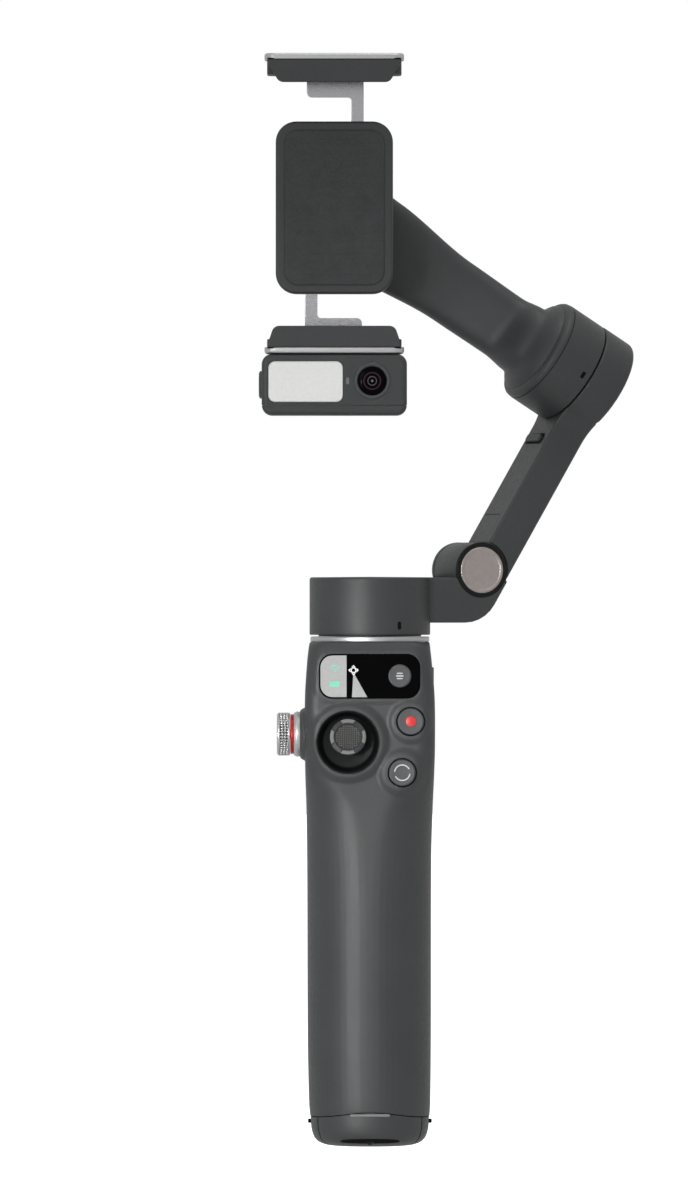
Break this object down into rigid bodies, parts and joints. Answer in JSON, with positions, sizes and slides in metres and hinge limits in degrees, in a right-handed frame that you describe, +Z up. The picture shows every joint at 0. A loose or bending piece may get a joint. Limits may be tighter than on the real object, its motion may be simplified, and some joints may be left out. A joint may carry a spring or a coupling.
{
  "type": "camera gimbal",
  "caption": "Hand-held three axis phone gimbal with a folding arm, telescopic rod, spring clamp, light module and built-in tripod.",
  "frame": {"origin": "mouth of the tripod thread at the centre of the base", "axes": "+Z up the handle, -Y the front with the joystick, +X to the arm's side"},
  "size_m": [0.1097, 0.066, 0.3164],
  "materials": {
    "shell": "fine satin grain",
    "gloss": "glossy",
    "trim": "fine satin",
    "hinge_cover": "turned satin",
    "rubber": "matt",
    "red": "anodised",
    "steel": "ground",
    "board": "lacquered",
    "cell": "shrink sleeve",
    "winding": "enamelled wire",
    "brass": "plain",
    "diffuser": "frosted"
  },
  "bodies": {
    "handle": {"handle_front_shell": "shell", "handle_rear_shell": "shell", "head_trim_ring": "trim", "display_window": "gloss", "main_board": "board", "battery_cell": "cell", "rod_sleeve": "steel", "joystick_collar": "shell", "wheel_boss": "shell", "wheel_red_ring": "red", "usb_socket": "steel", "shell_screws": "steel", "guide_post": "shell", "thread_insert": "brass", "trigger_pin": "steel"},
    "joystick_gimbal": {"joystick_yoke": "steel"},
    "joystick": {"joystick_stick": "steel", "joystick_cap": "shell"},
    "record_key": {"record_button": "shell"},
    "flip_key": {"flip_button": "shell"},
    "mode_key": {"mode_button": "shell"},
    "power_key": {"power_button": "shell"},
    "trigger_lever": {"trigger": "shell"},
    "side_wheel": {"wheel_knob": "trim"},
    "rod_1": {"rod_stage_1": "steel"},
    "rod_2": {"rod_stage_2": "steel"},
    "pan_mount": {"rod_stage_3": "steel", "pan_base": "shell", "pan_stator": "winding", "pan_bearings": "steel"},
    "pan_bracket": {"pan_housing": "shell", "pan_shaft": "steel", "lower_bracket": "shell", "hinge_pin": "steel", "hinge_discs": "hinge_cover"},
    "upper_arm": {"arm_shell": "shell", "arm_cover": "shell", "tilt_stator": "winding"},
    "tilt_yoke": {"tilt_housing": "shell", "tilt_shaft": "steel", "tilt_arm": "shell", "roll_stator": "winding"},
    "roll_plate": {"roll_housing": "shell", "roll_shaft": "steel", "magnet_plate": "trim"},
    "clamp": {"clamp_body": "shell"},
    "clamp_pinion": {"jaw_pinion": "steel"},
    "top_jaw": {"upper_jaw": "trim", "upper_pad": "rubber"},
    "bottom_jaw": {"lower_jaw": "trim", "lower_pad": "rubber", "module_body": "shell", "module_light_panel": "diffuser", "module_lens": "gloss"},
    "module_key": {"module_button": "shell"},
    "leg_carrier": {"tripod_carrier": "shell", "leg_pins": "steel"},
    "front_leg": {"leg_front": "shell"},
    "left_leg": {"leg_left": "shell"},
    "right_leg": {"leg_right": "shell"}
  },
  "joints": [
    {"name": "rod_extend", "type": "slide", "parent": "handle", "child": "rod_1", "axis": [0, 0, 1], "range_m": [0, 0.0716]},
    {"name": "rod_extend_2", "type": "slide", "parent": "rod_1", "child": "rod_2", "axis": [0, 0, 1], "range_m": [0, 0.0717]},
    {"name": "rod_extend_3", "type": "slide", "parent": "rod_2", "child": "pan_mount", "axis": [0, 0, 1], "range_m": [0, 0.0717]},
    {"name": "pan", "type": "hinge", "parent": "pan_mount", "child": "pan_bracket", "pos_m": [0, 0, 0.156], "axis": [0, 0, 1], "range_deg": [-109, 222]},
    {"name": "arm_fold", "type": "hinge", "parent": "pan_bracket", "child": "upper_arm", "pos_m": [0.029, 0.01231, 0.167], "axis": [0.3907, -0.9205, 0], "range_deg": [0, 70]},
    {"name": "tilt", "type": "hinge", "parent": "upper_arm", "child": "tilt_yoke", "pos_m": [0.05932, 0.02518, 0.22468], "axis": [-0.7874, -0.3342, 0.518], "range_deg": [-72, 230]},
    {"name": "roll", "type": "hinge", "parent": "tilt_yoke", "child": "roll_plate", "pos_m": [-0.0103, 0.015, 0.272], "axis": [0, -1, 0], "range_deg": [-68, 234]},
    {"name": "clamp_release", "type": "slide", "parent": "roll_plate", "child": "clamp", "axis": [0, -1, 0], "range_m": [0, 0.02]},
    {"name": "jaw_open", "type": "slide", "parent": "clamp", "child": "top_jaw", "axis": [0, 0, 1], "range_m": [-0.0053, 0.0032]},
    {"name": "jaw_open_low", "type": "slide", "parent": "clamp", "child": "bottom_jaw", "axis": [0, 0, -1], "range_m": [-0.0054, 0.0033]},
    {"name": "pinion_spin", "type": "hinge", "parent": "clamp", "child": "clamp_pinion", "pos_m": [-0.0103, 0, 0.272], "axis": [0, -1, 0], "range_deg": [-75, 45]},
    {"name": "module_press", "type": "slide", "parent": "bottom_jaw", "child": "module_key", "axis": [1, 0, 0], "range_m": [0, 0.0005], "stiffness_N_per_m": 500, "springref_m": -0.0006},
    {"name": "joystick_lift", "type": "hinge", "parent": "handle", "child": "joystick_gimbal", "pos_m": [-0.00635, -0.014, 0.1173], "axis": [1, 0, 0], "range_deg": [-12, 12], "stiffness_Nm_per_rad": 0.01},
    {"name": "joystick_swing", "type": "hinge", "parent": "joystick_gimbal", "child": "joystick", "pos_m": [-0.00635, -0.014, 0.1173], "axis": [0, 0, 1], "range_deg": [-12, 12], "stiffness_Nm_per_rad": 0.01},
    {"name": "record_press", "type": "slide", "parent": "handle", "child": "record_key", "axis": [0, 1, 0], "range_m": [0, 0.0006], "stiffness_N_per_m": 500, "springref_m": -0.0006},
    {"name": "flip_press", "type": "slide", "parent": "handle", "child": "flip_key", "axis": [0, 1, 0], "range_m": [0, 0.0006], "stiffness_N_per_m": 500, "springref_m": -0.0006},
    {"name": "mode_press", "type": "slide", "parent": "handle", "child": "mode_key", "axis": [0, 1, 0], "range_m": [0, 0.0006], "stiffness_N_per_m": 500, "springref_m": -0.0006},
    {"name": "power_press", "type": "slide", "parent": "handle", "child": "power_key", "axis": [-1, 0, 0], "range_m": [0, 0.0005], "stiffness_N_per_m": 500, "springref_m": -0.0006},
    {"name": "trigger_pull", "type": "hinge", "parent": "handle", "child": "trigger_lever", "pos_m": [0, 0.0167, 0.129], "axis": [1, 0, 0], "range_deg": [-6, 0], "stiffness_Nm_per_rad": 0.1, "springref_deg": 2.86},
    {"name": "wheel_turn", "type": "hinge", "parent": "handle", "child": "side_wheel", "pos_m": [-0.025, -0.007, 0.1195], "axis": [1, 0, 0], "continuous": true},
    {"name": "tripod_slide", "type": "slide", "parent": "handle", "child": "leg_carrier", "axis": [0, 0, -1], "range_m": [0, 0.038]},
    {"name": "front_leg_spread", "type": "hinge", "parent": "leg_carrier", "child": "front_leg", "pos_m": [0, -0.0077, 0.05], "axis": [-1, 0, 0], "range_deg": [0, 30.1]},
    {"name": "left_leg_spread", "type": "hinge", "parent": "leg_carrier", "child": "left_leg", "pos_m": [-0.00667, 0.00385, 0.05], "axis": [0.5, 0.866, 0], "range_deg": [0, 30.1]},
    {"name": "right_leg_spread", "type": "hinge", "parent": "leg_carrier", "child": "right_leg", "pos_m": [0.00667, 0.00385, 0.05], "axis": [0.5, -0.866, 0], "range_deg": [0, 30.1]}
  ],
  "couplings": [
    {"joint": "rod_extend_2", "follows": "rod_extend", "ratio": 1},
    {"joint": "rod_extend_3", "follows": "rod_extend", "ratio": 1},
    {"joint": "jaw_open_low", "follows": "jaw_open", "ratio": 1},
    {"joint": "pinion_spin", "follows": "jaw_open", "rad_per_m": 238.1},
    {"joint": "front_leg_spread", "follows": "tripod_slide", "rad_per_m": 13.779},
    {"joint": "left_leg_spread", "follows": "tripod_slide", "rad_per_m": 13.779},
    {"joint": "right_leg_spread", "follows": "tripod_slide", "rad_per_m": 13.779}
  ]
}
